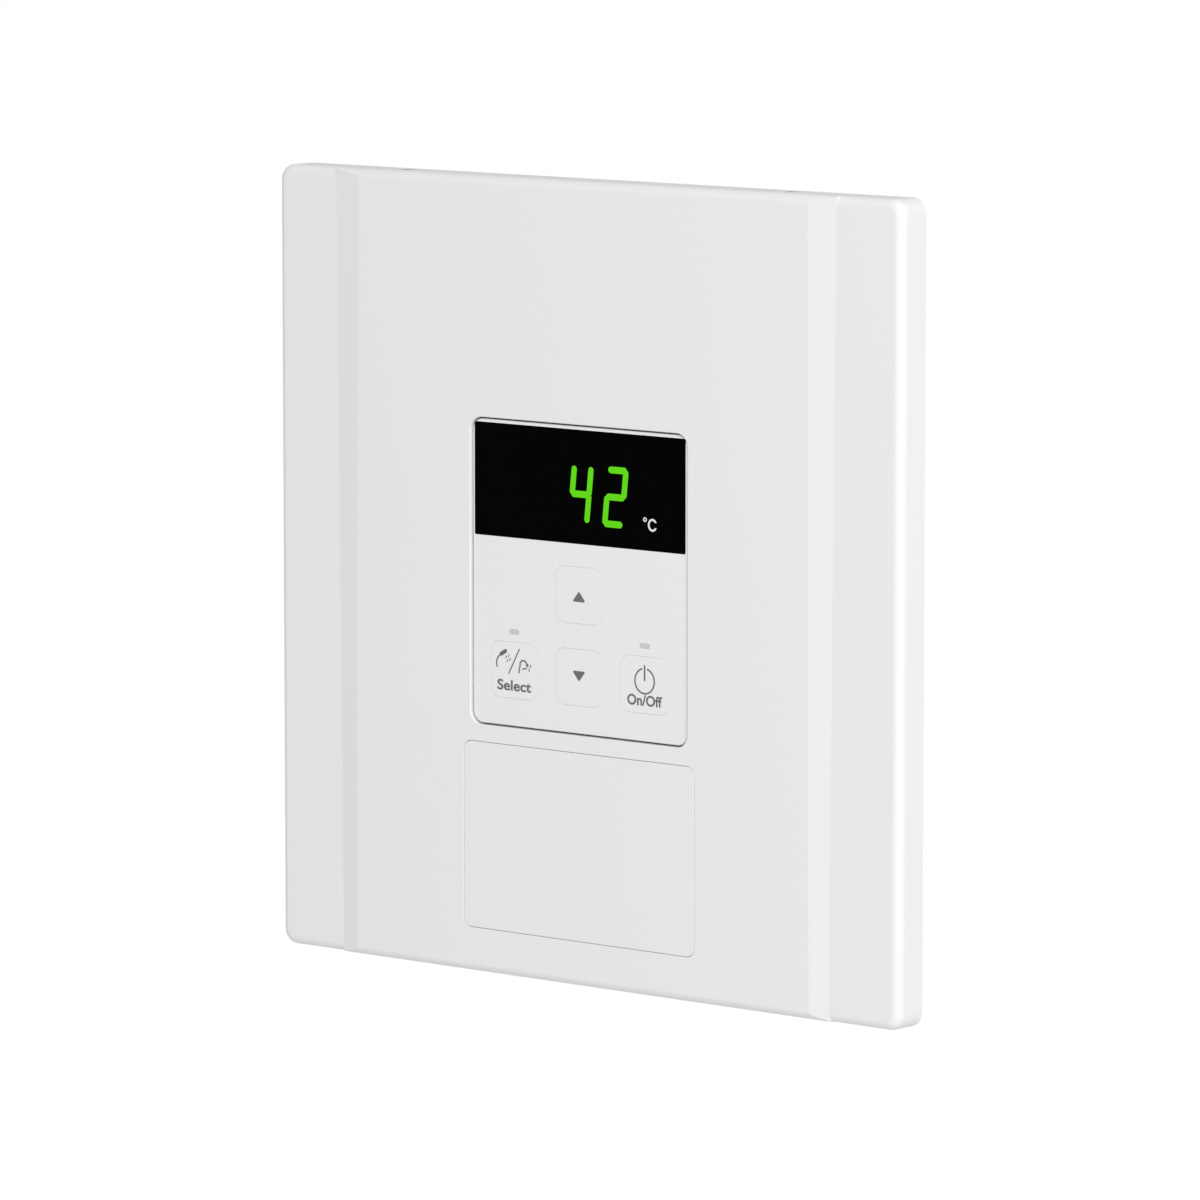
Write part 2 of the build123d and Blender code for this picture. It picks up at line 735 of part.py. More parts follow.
def fuse_clips():
    clips = []
    for side in (-1, 1):
        x = fuse_x + side * 7.2
        body = block(x - 1.5, x + 1.5, fuse_y - 1.2, bay_board_front, fuse_z - 3.2, fuse_z + 3.2)
        hollow = Pos(x, fuse_y, fuse_z) * Rot(0, 90, 0) * Cylinder(2.56, 5)
        mouth = block(x - 2, x + 2, fuse_y - 4, fuse_y, fuse_z - 2.0, fuse_z + 2.0)
        clips.append((body - hollow - mouth).solids()[0])
    return Compound(children=clips)


slide_x = bay_board_x + 21.5
slide_z = bay_board_z - 10.5
slide_travel = 2.0


def slide_switch():
    y = bay_board_front
    body = block(slide_x - 4.5, slide_x + 4.5, y - 3.6, y, slide_z - 1.9, slide_z + 1.9)
    return body - block(slide_x - 2.6, slide_x + 2.6, y - 4, y - 1.6, slide_z - 0.8, slide_z + 0.8)


def slide_knob():
    y = bay_board_front
    x = slide_x - slide_travel / 2
    return block(x - 1.4, x + 1.4, y - 5.6, y - 1.7, slide_z - 0.7, slide_z + 0.7)


test_x = bay_board_x + 21.5
test_z = bay_board_z - 20.0
test_travel = 0.4


def test_switch():
    y = bay_board_front
    body = plate(6.0, 6.0, 0.4, y - 3.6, y, test_x, test_z)
    return body - peg(1.85, y - 5, y - 1.6, test_x, test_z)


def test_button():
    y = bay_board_front
    cap = peg(1.75, y - 6.2, y - 2.1, test_x, test_z)
    return fillet(cap.faces().sort_by(Axis.Y)[0].edges(), 0.4)


def bay_capacitors():
    cans = [small_can(bay_board_x + 1.0, bay_board_z + dz, 2.6, 7.2, bay_board_front)
            for dz in (-0.2, 7.0)]
    return Compound(children=[c.solids()[0] for c in cans])


def thermistor():
    y = bay_board_front
    x = bay_board_x + 16.0
    z = bay_board_z - 24.0
    bead = Pos(x, y - 2.6, z) * Sphere(1.6)
    for side in (-1, 1):
        bead = bead + block(x + side * 0.8 - 0.25, x + side * 0.8 + 0.25, y - 2.6, y,
                            z - 0.25, z + 0.25)
    return bead


def service_door():
    w = door_width - 2 * door_gap
    h = door_height - 2 * door_gap
    door = plate(w, h, door_corner_r, front, front + door_rim, 0, door_center_z)
    inner_faces = door.faces().sort_by(Axis.Y)
    door = fillet(list(inner_faces[0].edges()) + list(inner_faces[-1].edges()), door_lip_r)
    door = door - plate(w - 6.4, h - 7.0, 2.0, front + door_panel, front + door_rim + 1, 0,
                        door_center_z + 0.6)
    for x in (-24.0, 0.0, 24.0):
        door = door + block(x - 0.6, x + 0.6, front + door_panel - 0.2, front + door_rim - 0.3,
                            door_low + 4.5, door_top - 4.5)
    pivot_z = door_low + door_gap + hinge_up
    for side in (-1, 1):
        x = side * (w / 2 + 0.9)
        pin = Pos(x, front + hinge_in, pivot_z) * Rot(0, 90, 0) * Cylinder(hinge_pin_r, 3.0)
        door = door + pin
    for x in (-34.0, 34.0):
        door = door + block(x - 6.0, x + 6.0, front + door_panel - 0.1, front + 5.6,
                            door_top - 7.2, door_top - 2.0)
        door = door - block(x - 4.6, x + 4.6, front + 3.0, front + 7.0,
                            door_top - 4.8, door_top - 1.0)
    return door


def door_magnets():
    magnets = [block(x - 4.5, x + 4.5, front + 3.0, front + 5.6, door_top - 4.8, door_top - 2.0)
               for x in (-34.0, 34.0)]
    return Compound(children=[m.solids()[0] for m in magnets])


os.makedirs("parts", exist_ok=True)
save(front_cover(), "front_cover")
save(weld_studs(), "weld_studs")
save(stud_nuts(), "stud_nuts")
save(rear_case(), "rear_case")
save(cover_screws(), "cover_screws")
save(cable_grommet(), "cable_grommet")
save(fascia(), "fascia")
save(display_window(), "display_window")
save(segment_group(True), "lit_segments")
save(segment_group(False), "unlit_segments")
save(unit_mark(), "unit_mark")
for key_name in key_places():
    save(key(key_name), f"{key_name}_key")
    save(key_print(key_name), f"{key_name}_key_print")
save(key_mat(), "key_mat")
save(controller_case(), "controller_case")
save(controller_board(), "controller_board")
save(board_screws(), "board_screws")
save(digit_module(), "digit_module")
save(tact_switches(), "tact_switches")
save(status_light_pipes(), "status_light_pipes")
save(status_leds(), "status_leds")
save(microcontroller(), "microcontroller")
save(driver_chip(), "driver_chip")
save(buzzer(), "buzzer")
save(board_capacitors(), "board_capacitors")
save(harness_headers(), "harness_headers")
save(harness(), "harness")
save(service_board(), "service_board")
save(terminal_block(), "terminal_block")
save(terminal_screws(), "terminal_screws")
save(relay(), "relay")
save(power_module(), "power_module")
save(fuse(), "fuse")
save(fuse_clips(), "fuse_clips")
save(slide_switch(), "slide_switch")
save(slide_knob(), "slide_knob")
save(test_switch(), "test_switch")
save(test_button(), "test_button")
save(bay_capacitors(), "bay_capacitors")
save(thermistor(), "thermistor")
save(service_door(), "service_door")
save(door_magnets(), "door_magnets")
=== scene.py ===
import math

import bmesh
import bpy
from mathutils import Matrix, Vector


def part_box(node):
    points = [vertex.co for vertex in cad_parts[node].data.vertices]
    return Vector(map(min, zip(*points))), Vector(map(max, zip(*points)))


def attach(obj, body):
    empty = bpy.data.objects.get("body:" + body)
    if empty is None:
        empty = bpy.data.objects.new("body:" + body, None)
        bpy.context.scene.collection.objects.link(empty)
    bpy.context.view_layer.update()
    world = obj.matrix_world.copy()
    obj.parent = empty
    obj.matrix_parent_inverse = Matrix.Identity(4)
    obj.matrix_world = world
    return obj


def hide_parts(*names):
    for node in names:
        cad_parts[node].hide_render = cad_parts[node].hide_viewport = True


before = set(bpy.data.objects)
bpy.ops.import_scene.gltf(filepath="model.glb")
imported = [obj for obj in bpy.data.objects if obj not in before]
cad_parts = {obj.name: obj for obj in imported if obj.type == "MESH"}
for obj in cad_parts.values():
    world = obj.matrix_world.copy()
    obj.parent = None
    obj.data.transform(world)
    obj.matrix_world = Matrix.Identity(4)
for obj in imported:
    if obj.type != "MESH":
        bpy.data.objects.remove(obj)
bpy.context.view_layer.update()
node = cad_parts


# --- Studio ---------------------------------------------------------------------------------
# A long lens stands to the right of the box and a little above it, on a white sweep.
# One broad soft light comes from the upper right and the room fills in the rest.
camera_data = bpy.data.cameras.new("studio_camera")
camera_data.lens, camera_data.sensor_width = 232.9, 36.0
camera = bpy.data.objects.new("studio_camera", camera_data)
bpy.context.scene.collection.objects.link(camera)
turn, rise, reach = math.radians(40.54), math.radians(6.98), 2.4848
aim = Vector((-0.0042, -0.008, -0.0061))
back = Vector((math.sin(turn) * math.cos(rise), -math.cos(turn) * math.cos(rise), math.sin(rise)))
camera.location = aim + back * reach
camera.rotation_mode = "QUATERNION"
camera.rotation_quaternion = (-back).to_track_quat("-Z", "Y")
camera_data.clip_start, camera_data.clip_end = 0.1, 30.0
bpy.context.scene.camera = camera


def soft_light(name, azimuth, elevation, distance, width, height, power):
    """A rectangular softbox aimed at the middle of the box."""
    data = bpy.data.lights.new(name, "AREA")
    data.shape = "RECTANGLE"
    data.size, data.size_y = width, height
    data.energy = power
    lamp = bpy.data.objects.new(name, data)
    bpy.context.scene.collection.objects.link(lamp)
    a, e = math.radians(azimuth), math.radians(elevation)
    away = Vector((math.sin(a) * math.cos(e), -math.cos(a) * math.cos(e), math.sin(e)))
    lamp.location = away * distance
    lamp.rotation_mode = "QUATERNION"
    lamp.rotation_quaternion = (-away).to_track_quat("-Z", "Y")


soft_light("key_softbox", 53.0, 24.0, 2.6, 1.6, 1.6, 49.0)


def add(tree, kind, settings=None, inputs=None):
    """Adds a node; an input is a value, or (node, output name) for a link."""
    made = tree.nodes.new(kind)
    for name, value in (settings or {}).items():
        setattr(made, name, value)
    for name, value in (inputs or {}).items():
        if isinstance(value, tuple) and len(value) == 2 and isinstance(value[0], bpy.types.Node):
            tree.links.new(value[0].outputs[value[1]], made.inputs[name])
        else:
            made.inputs[name].default_value = value
    return made


world = bpy.data.worlds.new("white_room")
bpy.context.scene.world = world
world.use_nodes = True
sky = world.node_tree
sky.nodes.clear()
room_strength, sweep_strength = 0.61, 1.0
ray = add(sky, "ShaderNodeLightPath")
room = add(sky, "ShaderNodeBackground", None, {"Color": (1.0, 1.0, 1.0, 1.0), "Strength": room_strength})
sweep = add(sky, "ShaderNodeBackground", None, {"Color": (1.0, 1.0, 1.0, 1.0), "Strength": sweep_strength})
pick = add(sky, "ShaderNodeMixShader", None, {"Fac": (ray, "Is Camera Ray")})
sky.links.new(room.outputs[0], pick.inputs[1])
sky.links.new(sweep.outputs[0], pick.inputs[2])
add(sky, "ShaderNodeOutputWorld", None, {"Surface": (pick, "Shader")})
bpy.context.scene.view_settings.view_transform = "Standard"
bpy.context.scene.view_settings.look = "None"
bpy.context.scene.view_settings.exposure = 0.0
bpy.context.scene.view_settings.gamma = 1.0


def linear(hex_code):
    """An sRGB hex colour as the linear values that shaders use."""
    parts = [int(hex_code[i:i + 2], 16) / 255 for i in (1, 3, 5)]
    return tuple(c / 12.92 if c <= 0.04045 else ((c + 0.055) / 1.055) ** 2.4 for c in parts) + (1.0,)


floor_half, floor_drop = 0.9, 0.6
floor_mesh = bpy.data.meshes.new("studio_floor")
floor_shape = bmesh.new()
bmesh.ops.create_grid(floor_shape, x_segments=8, y_segments=8, size=floor_half)
floor_shape.to_mesh(floor_mesh)
floor_shape.free()
floor_mesh.transform(Matrix.Translation((0.0, 0.0, -floor_drop)))
floor = bpy.data.objects.new("studio_floor", floor_mesh)
bpy.context.scene.collection.objects.link(floor)
paper = bpy.data.materials.new("matt_white_paper")
paper.use_nodes = True
paper_shader = paper.node_tree.nodes["Principled BSDF"]
paper_shader.inputs["Base Color"].default_value = linear("#F2F2F2")
paper_shader.inputs["Roughness"].default_value = 0.9
floor_mesh.materials.append(paper)


# --- Rear case -------------------------------------------------------------------------------
# A one-piece ABS tub with a spark-eroded texture that hangs on two wall screws by its keyholes.
# A soft rubber ring lines the cable hole in its floor.
def surface(name, colour, roughness, vary=0.02, vary_mm=90.0, rough_vary=0.03, rough_mm=12.0,
            bump_mm=1.6, bump_height=0.00002, detail=2.0, **plain):
    """A moulded or coated surface: slow colour drift, uneven gloss and a fine relief."""
    made = bpy.data.materials.new(name)
    made.use_nodes = True
    tree = made.node_tree
    shader = tree.nodes["Principled BSDF"]
    place = add(tree, "ShaderNodeTexCoord")
    drift = add(tree, "ShaderNodeTexNoise", None,
                {"Vector": (place, "Object"), "Scale": 1000.0 / vary_mm, "Detail": 3.0})
    base = linear(colour)
    tone = add(tree, "ShaderNodeMixRGB", {"blend_type": "MIX"}, {
        "Fac": (drift, "Fac"),
        "Color1": tuple(c * (1 - vary) for c in base[:3]) + (1.0,),
        "Color2": tuple(min(1.0, c * (1 + vary)) for c in base[:3]) + (1.0,)})
    tree.links.new(tone.outputs[0], shader.inputs["Base Color"])
    smear = add(tree, "ShaderNodeTexNoise", None,
                {"Vector": (place, "Object"), "Scale": 1000.0 / rough_mm, "Detail": 3.0})
    gloss = add(tree, "ShaderNodeMapRange", None, {
        "Value": (smear, "Fac"), "From Min": 0.3, "From Max": 0.7,
        "To Min": roughness - rough_vary, "To Max": roughness + rough_vary})
    tree.links.new(gloss.outputs[0], shader.inputs["Roughness"])
    grain = add(tree, "ShaderNodeTexNoise", None,
                {"Vector": (place, "Object"), "Scale": 1000.0 / bump_mm, "Detail": detail})
    relief = add(tree, "ShaderNodeBump", None, {
        "Height": (grain, "Fac"), "Distance": bump_height, "Strength": 1.0})
    tree.links.new(relief.outputs[0], shader.inputs["Normal"])
    for socket, value in plain.items():
        shader.inputs[socket.replace("_", " ")].default_value = value
    return made


def dress(name, material, second=None, where=None):
    """Puts one finish on a CAD piece, and a second on the faces where() picks by their centre in mm."""
    mesh = node[name].data
    mesh.materials.clear()
    mesh.materials.append(material)
    for face in mesh.polygons:
        face.material_index = 0
    if second:
        mesh.materials.append(second)
        for face in mesh.polygons:
            face.material_index = 1 if where(face.center * 1000) else 0


case_plastic = surface("spark_textured_grey_abs", "#B4B6B8", 0.55, vary=0.02, rough_mm=6.0,
                       bump_mm=0.6, bump_height=0.00004)
dress("rear_case", case_plastic)
rubber = surface("moulded_black_epdm", "#1B1B1C", 0.62, vary=0.1, vary_mm=12.0, bump_mm=0.5,
                 bump_height=0.00002)
dress("cable_grommet", rubber)

# --- Service board ---------------------------------------------------------------------------
# Glass-epoxy laminate with a green solder mask, screwed to four standoffs behind the door.
# Copper tracks show through the mask as lighter lines in some places, with tinned via holes.
solder_mask = surface("solder_masked_laminate", "#1E5A34", 0.34, vary=0.06, vary_mm=14.0,
                      rough_mm=4.0, bump_mm=0.9, bump_height=0.00001)
mask_tree = solder_mask.node_tree
mask_place = add(mask_tree, "ShaderNodeTexCoord")
mask_split = add(mask_tree, "ShaderNodeSeparateXYZ", None, {"Vector": (mask_place, "Object")})
mask_flat = add(mask_tree, "ShaderNodeCombineXYZ", None,
                {"X": (mask_split, "X"), "Y": (mask_split, "Z")})
track_pitch, track_width, via_pitch, via_radius = 1.27, 0.13, 4.4, 0.28
tracks = add(mask_tree, "ShaderNodeTexBrick", {"offset": 0.37, "offset_frequency": 3}, {
    "Vector": (mask_flat, "Vector"), "Scale": 1000.0, "Mortar Size": track_width,
    "Brick Width": 15 * track_pitch, "Row Height": track_pitch,
    "Color1": (0, 0, 0, 1), "Color2": (0, 0, 0, 1), "Mortar": (1, 1, 1, 1)})
routed = add(mask_tree, "ShaderNodeTexNoise", {"noise_dimensions": "2D"},
             {"Vector": (mask_flat, "Vector"), "Scale": 1000.0 / 11.0, "Detail": 1.0})
routed_edge = add(mask_tree, "ShaderNodeMath", {"operation": "GREATER_THAN"}, {0: (routed, "Fac"), 1: 0.5})
shown_tracks = add(mask_tree, "ShaderNodeMath", {"operation": "MULTIPLY"},
                   {0: (tracks, "Color"), 1: (routed_edge, "Value")})
vias = add(mask_tree, "ShaderNodeTexVoronoi", {"voronoi_dimensions": "2D"},
           {"Vector": (mask_flat, "Vector"), "Scale": 1000.0 / via_pitch, "Randomness": 0.8})
via_edge = add(mask_tree, "ShaderNodeMath", {"operation": "LESS_THAN"},
               {0: (vias, "Distance"), 1: via_radius / via_pitch})
mask_shader = mask_tree.nodes["Principled BSDF"]
mask_base = mask_shader.inputs["Base Color"].links[0].from_node
copper_under = add(mask_tree, "ShaderNodeMixRGB", None, {
    "Fac": (shown_tracks, "Value"), "Color1": (mask_base, "Color"), "Color2": linear("#2F7A44")})
tinned_over = add(mask_tree, "ShaderNodeMixRGB", None, {
    "Fac": (via_edge, "Value"), "Color1": (copper_under, "Color"), "Color2": linear("#A9B0A4")})
mask_tree.links.new(tinned_over.outputs[0], mask_shader.inputs["Base Color"])
dress("service_board", solder_mask)
zinc = surface("bright_zinc_plated_steel", "#B9BCC0", 0.30, vary=0.04, vary_mm=5.0, rough_mm=2.0,
               bump_mm=0.5, bump_height=0.000006, Metallic=1.0)
dress("board_screws", zinc)

# --- Parts on the service board --------------------------------------------------------------
# A six-way screw terminal, a relay, a potted power module, a glass fuse in spring clips, two
# small capacitors and a temperature bead, all soldered to the board.
terminal_plastic = surface("moulded_green_polyamide", "#2F8F55", 0.42, vary=0.04, vary_mm=10.0,
                           bump_mm=0.4, bump_height=0.000008)
dress("terminal_block", terminal_plastic)
dress("terminal_screws", zinc)
relay_plastic = surface("glossy_black_pbt", "#17191C", 0.28, vary=0.1, vary_mm=12.0, bump_mm=1.2,
                        bump_height=0.000005)
dress("relay", relay_plastic)
potted = surface("matt_grey_pbt", "#3C3F42", 0.55, vary=0.05, vary_mm=12.0, bump_mm=0.5,
                 bump_height=0.000015)
dress("power_module", potted)
tin = surface("tinned_copper", "#C9C9C4", 0.33, vary=0.04, vary_mm=2.0, rough_mm=1.0, bump_mm=0.4,
              bump_height=0.000004, Metallic=1.0)
dress("fuse_clips", tin)
fuse_low, fuse_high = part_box("fuse")
fuse_mid = (fuse_low + fuse_high) * 500
glass = surface("drawn_soda_glass", "#F4F8F6", 0.05, vary=0.01, rough_vary=0.02, bump_mm=6.0,
                bump_height=0.000002, IOR=1.5, Transmission_Weight=1.0)
cap_length = 4.05
cap_reach = (fuse_high.x - fuse_low.x) * 500 - cap_length
dress("fuse", glass, tin, lambda c: abs(c.x - fuse_mid.x) > cap_reach)
sleeve = surface("black_pet_sleeve", "#1C1D20", 0.35, vary=0.08, vary_mm=4.0, bump_mm=0.8,
                 bump_height=0.000004)
can_metal = surface("drawn_aluminium_can", "#D2D3D4", 0.28, vary=0.02, vary_mm=3.0, bump_mm=0.3,
                    bump_height=0.000004, Metallic=1.0)
can_rim = 0.45
for name in ("bay_capacitors", "board_capacitors"):
    low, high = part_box(name)
    dress(name, sleeve, can_metal, lambda c, top=low.y * 1000: c.y < top + can_rim)
bead = surface("epoxy_dipped_bead", "#1F3E78", 0.25, vary=0.08, vary_mm=1.5, bump_mm=0.7,
               bump_height=0.00001)
bead_front, bead_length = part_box("thermistor")[0].y * 1000, 3.1
dress("thermistor", bead, tin, lambda c: c.y > bead_front + bead_length)

# The fuse element is a thin straight wire between the two end caps.
fuse_wire_radius = 0.00012
fuse_wire_shape = bmesh.new()
bmesh.ops.create_cone(fuse_wire_shape, cap_ends=True, segments=12, radius1=fuse_wire_radius,
                      radius2=fuse_wire_radius, depth=2 * cap_reach / 1000)
fuse_wire_mesh = bpy.data.meshes.new("fuse_wire")
fuse_wire_shape.to_mesh(fuse_wire_mesh)
fuse_wire_shape.free()
fuse_wire_mesh.transform(Matrix.Translation(fuse_mid / 1000) @ Matrix.Rotation(math.pi / 2, 4, "Y"))
fuse_wire_mesh.materials.append(tin)
fuse_wire = bpy.data.objects.new("fuse_wire", fuse_wire_mesh)
bpy.context.scene.collection.objects.link(fuse_wire)
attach(fuse_wire, "housing")

# --- Chip resistors --------------------------------------------------------------------------
# Rows of small ceramic chips, black on top with tinned ends, reflowed on to both boards. A few
# places in each row are left unfilled, as on any board built in several versions.
chip_tree = bpy.data.node_groups.new("chip_rows", "GeometryNodeTree")
chip_inputs = {}
for title, kind, start in (("Centre", "NodeSocketVector", (0.0, 0.0, 0.0)),
                           ("Across", "NodeSocketInt", 6), ("Up", "NodeSocketInt", 2),
                           ("Pitch Across", "NodeSocketFloat", 0.003),
                           ("Pitch Up", "NodeSocketFloat", 0.0022),
                           ("Length", "NodeSocketFloat", 0.0016),
                           ("Width", "NodeSocketFloat", 0.0008),
                           ("Height", "NodeSocketFloat", 0.00045),
                           ("End Length", "NodeSocketFloat", 0.0003),
                           ("Filled", "NodeSocketFloat", 0.8), ("Seed", "NodeSocketInt", 3),
                           ("Ends Only", "NodeSocketBool", False),
                           ("Finish", "NodeSocketMaterial", None)):
    made = chip_tree.interface.new_socket(name=title, in_out="INPUT", socket_type=kind)
    if start is not None:
        made.default_value = start
    chip_inputs[title] = made.identifier
chip_tree.interface.new_socket(name="Geometry", in_out="OUTPUT", socket_type="NodeSocketGeometry")
given = add(chip_tree, "NodeGroupInput")


def times(tree, a, b):
    """One value times another."""
    return add(tree, "ShaderNodeMath", {"operation": "MULTIPLY"}, {0: a, 1: b})


gaps_across = add(chip_tree, "ShaderNodeMath", {"operation": "SUBTRACT"}, {0: (given, "Across"), 1: 1.0})
gaps_up = add(chip_tree, "ShaderNodeMath", {"operation": "SUBTRACT"}, {0: (given, "Up"), 1: 1.0})
reach_across = times(chip_tree, (gaps_across, "Value"), (given, "Pitch Across"))
reach_up = times(chip_tree, (gaps_up, "Value"), (given, "Pitch Up"))
grid = add(chip_tree, "GeometryNodeMeshGrid", None, {
    "Size X": (reach_across, "Value"), "Size Y": (reach_up, "Value"),
    "Vertices X": (given, "Across"), "Vertices Y": (given, "Up")})
upright = add(chip_tree, "GeometryNodeTransform", None, {
    "Geometry": (grid, "Mesh"), "Translation": (given, "Centre"), "Rotation": (math.pi / 2, 0.0, 0.0)})
filled = add(chip_tree, "FunctionNodeRandomValue", {"data_type": "BOOLEAN"}, {
    "Probability": (given, "Filled"), "Seed": (given, "Seed")})
empty_place = add(chip_tree, "FunctionNodeBooleanMath", {"operation": "NOT"})
chip_tree.links.new(filled.outputs[3], empty_place.inputs[0])
kept_places = add(chip_tree, "GeometryNodeDeleteGeometry", {"domain": "POINT"}, {
    "Geometry": (upright, "Geometry"), "Selection": (empty_place, "Boolean")})
body_size = add(chip_tree, "ShaderNodeCombineXYZ", None, {
    "X": (given, "Length"), "Y": (given, "Height"), "Z": (given, "Width")})
chip_body = add(chip_tree, "GeometryNodeMeshCube", None, {"Size": (body_size, "Vector")})
end_size = add(chip_tree, "ShaderNodeCombineXYZ", None, {
    "X": (given, "End Length"), "Y": (times(chip_tree, (given, "Height"), 1.12), "Value"),
    "Z": (times(chip_tree, (given, "Width"), 1.06), "Value")})
chip_end = add(chip_tree, "GeometryNodeMeshCube", None, {"Size": (end_size, "Vector")})
end_start = add(chip_tree, "ShaderNodeCombineXYZ", None,
                {"X": (times(chip_tree, (given, "Length"), -0.5), "Value")})
end_step = add(chip_tree, "ShaderNodeCombineXYZ", None, {"X": (given, "Length")})
end_line = add(chip_tree, "GeometryNodeMeshLine", None, {
    "Count": 2, "Start Location": (end_start, "Vector"), "Offset": (end_step, "Vector")})
end_pair = add(chip_tree, "GeometryNodeInstanceOnPoints", None, {
    "Points": (end_line, "Mesh"), "Instance": (chip_end, "Mesh")})
which = add(chip_tree, "GeometryNodeSwitch", {"input_type": "GEOMETRY"}, {
    "Switch": (given, "Ends Only"), "False": (chip_body, "Mesh"), "True": (end_pair, "Instances")})
placed = add(chip_tree, "GeometryNodeInstanceOnPoints", None, {
    "Points": (kept_places, "Geometry"), "Instance": (which, "Output")})
solid_chips = add(chip_tree, "GeometryNodeRealizeInstances", None, {"Geometry": (placed, "Instances")})
finished = add(chip_tree, "GeometryNodeSetMaterial", None, {
    "Geometry": (solid_chips, "Geometry"), "Material": (given, "Finish")})
add(chip_tree, "NodeGroupOutput", None, {"Geometry": (finished, "Geometry")})


def grown(name, tree, settings, start_mesh=None):
    """Runs a node tree once and keeps its result as a plain mesh on a new piece."""
    holder = bpy.data.objects.new(name + "_holder", start_mesh or bpy.data.meshes.new(name + "_start"))
    bpy.context.scene.collection.objects.link(holder)
    grow = holder.modifiers.new("grow", "NODES")
    grow.node_group = tree
    for identifier, value in settings.items():
        grow[identifier] = value
    holder.update_tag()
    bpy.context.view_layer.update()
    result = holder.evaluated_get(bpy.context.evaluated_depsgraph_get())
    mesh = bpy.data.meshes.new_from_object(result)
    mesh.name = name
    holder.modifiers.remove(grow)
    bpy.data.objects.remove(holder)
    piece = bpy.data.objects.new(name, mesh)
    bpy.context.scene.collection.objects.link(piece)
    return piece


resistor_top = surface("fired_black_resistor_glaze", "#141416", 0.30, vary=0.1, vary_mm=1.0,
                       bump_mm=0.5, bump_height=0.000004)
board_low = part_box("service_board")[0]
control_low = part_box("controller_board")[0]
chip_height, chip_sink = 0.00045, 0.00002
rows = (("bay_row_low", board_low, -0.0310, -0.0876, 6, 2, 5),
        ("bay_row_high", board_low, 0.0046, -0.0650, 4, 3, 8),
        ("control_row_low", control_low, 0.0005, -0.0165, 6, 2, 11),
        ("control_row_side", control_low, -0.0290, 0.0060, 5, 2, 14))
for title, low, x, z, across, up, seed in rows:
    for ends in (False, True):
        chips = grown(title + ("_ends" if ends else "_bodies"), chip_tree, {
            chip_inputs["Centre"]: (x, low.y - chip_height / 2 + chip_sink, z),
            chip_inputs["Across"]: across, chip_inputs["Up"]: up, chip_inputs["Seed"]: seed,
            chip_inputs["Height"]: chip_height, chip_inputs["Ends Only"]: ends,
            chip_inputs["Finish"]: tin if ends else resistor_top})
        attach(chips, "housing")

# --- Terminal numbers ------------------------------------------------------------------------
# Small white numerals screen-printed on the board, one above each screw terminal.
white_ink = surface("white_screen_ink", "#E0E0E0", 0.55, bump_mm=0.3, bump_height=0.000003)


def lettering(name, words, x, y, z, height, width=None, weight=0.0):
    """A flat printed word centred at (x, z), facing the front with its face at y, in metres."""
    curve = bpy.data.curves.new(name, "FONT")
    curve.body = words
    curve.align_x, curve.align_y = "CENTER", "CENTER"
    curve.size = 0.01
    curve.offset = weight
    curve.extrude = 0.00002
    curve.resolution_u = 6
    holder = bpy.data.objects.new(name + "_curve", curve)
    bpy.context.scene.collection.objects.link(holder)
    bpy.context.view_layer.update()
    mesh = bpy.data.meshes.new_from_object(holder.evaluated_get(bpy.context.evaluated_depsgraph_get()))
    mesh.name = name
    bpy.data.objects.remove(holder)
    xs = [v.co.x for v in mesh.vertices]
    ys = [v.co.y for v in mesh.vertices]
    grow_y = height / (max(ys) - min(ys))
    grow_x = width / (max(xs) - min(xs)) if width else grow_y
    mid_x, mid_y = (max(xs) + min(xs)) / 2, (max(ys) + min(ys)) / 2
    fit = Matrix.Diagonal((grow_x, grow_y, 1.0, 1.0)) @ Matrix.Translation((-mid_x, -mid_y, 0.0))
    mesh.transform(Matrix.Translation((x, y + 0.00002, z)) @ Matrix.Rotation(math.pi / 2, 4, "X") @ fit)
    piece = bpy.data.objects.new(name, mesh)
    bpy.context.scene.collection.objects.link(piece)
    return piece


screw_low, screw_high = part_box("terminal_screws")
terminal_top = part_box("terminal_block")[1].z
screw_width, terminals = 0.0035, 6
number_height, number_rise = 0.0019, 0.0016
for place in range(terminals):
    share = place / (terminals - 1)
    x = (screw_low.x + screw_width / 2) * (1 - share) + (screw_high.x - screw_width / 2) * share
    numeral = lettering(f"terminal_number_{place + 1}", str(place + 1), x, board_low.y - 0.00003,
                        terminal_top + number_rise, number_height)
    numeral.data.materials.append(white_ink)
    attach(numeral, "housing")

# --- Switches in the bay ---------------------------------------------------------------------
# A two-position slide switch with a white knob and a test push button with a red cap.
switch_plastic = surface("moulded_black_pbt", "#202123", 0.45, vary=0.06, vary_mm=6.0, bump_mm=0.4,
                         bump_height=0.00001)
dress("slide_switch", switch_plastic)
dress("test_switch", switch_plastic)
knob_plastic = surface("moulded_white_acetal", "#DEDEDA", 0.38, vary=0.02, vary_mm=4.0, bump_mm=0.4,
                       bump_height=0.000006)
dress("slide_knob", knob_plastic)
red_plastic = surface("moulded_red_acetal", "#B42A20", 0.36, vary=0.04, vary_mm=4.0, bump_mm=0.4,
                      bump_height=0.000006)
dress("test_button", red_plastic)

